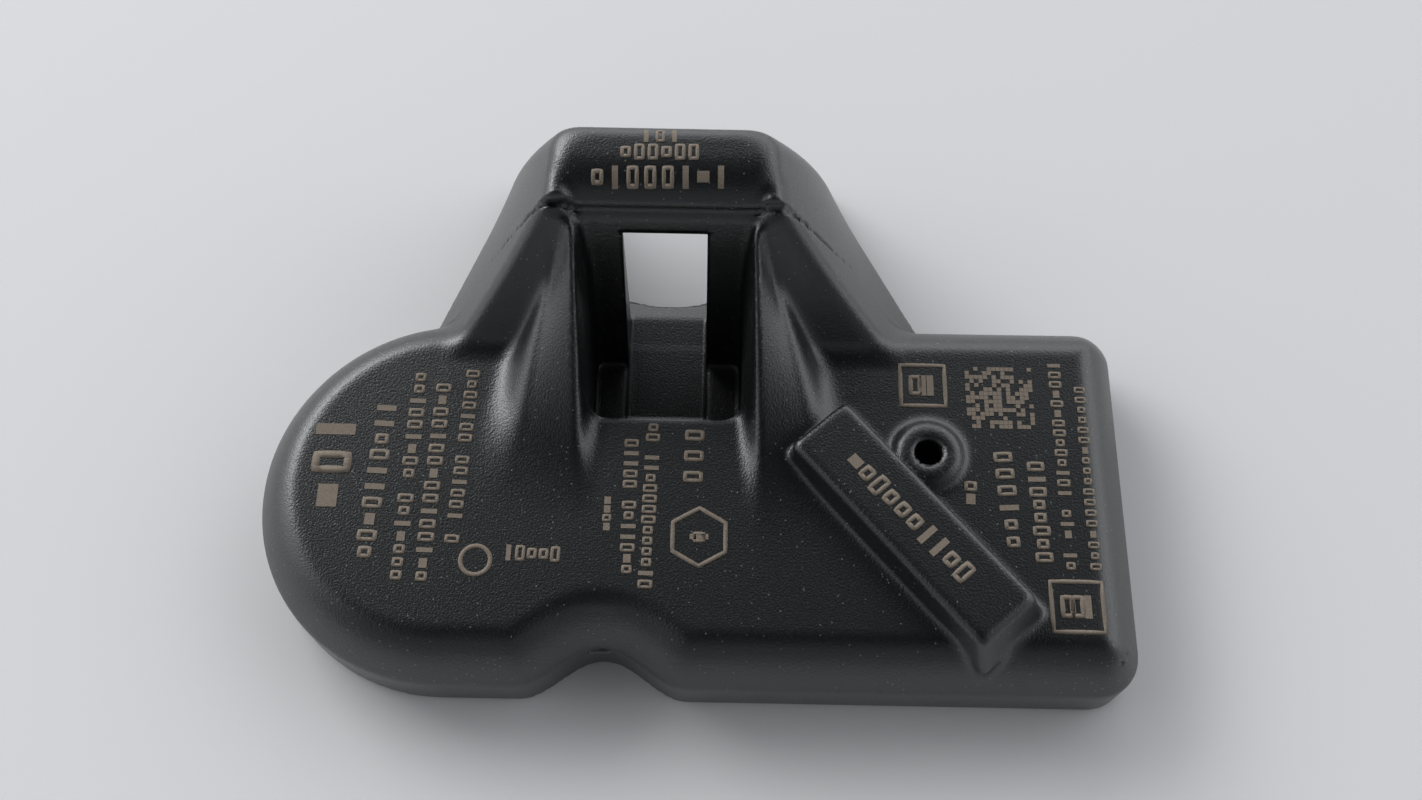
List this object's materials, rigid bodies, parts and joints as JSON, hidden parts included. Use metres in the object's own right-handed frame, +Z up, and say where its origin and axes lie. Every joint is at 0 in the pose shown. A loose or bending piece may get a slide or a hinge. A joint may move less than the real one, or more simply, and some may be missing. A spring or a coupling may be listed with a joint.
{
  "type": "tyre pressure sensor",
  "caption": "Black moulded wheel sensor with a round battery lobe, a rectangular electronics block, a diagonal coil bump and a slotted tower that bolts to the inner end of a tyre valve.",
  "frame": {"origin": "middle of the overall footprint, on the plane that the part rests on", "axes": "+X from the battery lobe to the electronics block, +Y towards the valve side, +Z up out of the marked face"},
  "size_m": [0.0576, 0.0405, 0.0178],
  "materials": {
    "nylon": "fine spark texture, black",
    "cover": "satin black",
    "board": "green solder mask",
    "steel": "bright rolled",
    "gasket": "smooth",
    "lithium": "dull silver",
    "separator": "felted",
    "cathode": "pressed powder",
    "nickel": "rolled strip",
    "epoxy": "moulded",
    "rubber": "soft matt",
    "membrane": "porous white",
    "bobbin": "moulded",
    "ferrite": "sintered",
    "copper": "enamelled wire",
    "brass": "bright strip",
    "ceramic": "fired ceramic"
  },
  "bodies": {
    "root": {"housing": "nylon", "base_cover": "cover", "circuit_board": "board", "battery_can": "steel", "battery_gasket": "gasket", "battery_cap": "steel", "battery_lithium_disc": "lithium", "battery_separator": "separator", "battery_cathode": "cathode", "positive_tab": "nickel", "negative_tab": "nickel", "sensor_chip": "epoxy", "sensor_lid": "steel", "port_seal": "rubber", "port_filter": "membrane", "coil_base": "bobbin", "coil_core": "ferrite", "coil_winding": "copper", "coil_terminal_1": "brass", "coil_terminal_2": "brass", "antenna_strap": "brass", "crystal_can": "steel", "matching_inductor_1": "ferrite", "matching_inductor_2": "ferrite", "supply_capacitor": "ceramic", "decoupling_capacitor_1": "ceramic", "decoupling_capacitor_2": "ceramic", "decoupling_capacitor_3": "ceramic", "coil_capacitor_1": "ceramic", "coil_capacitor_2": "ceramic", "bias_resistor_1": "epoxy", "bias_resistor_2": "epoxy"}
  },
  "joints": []
}
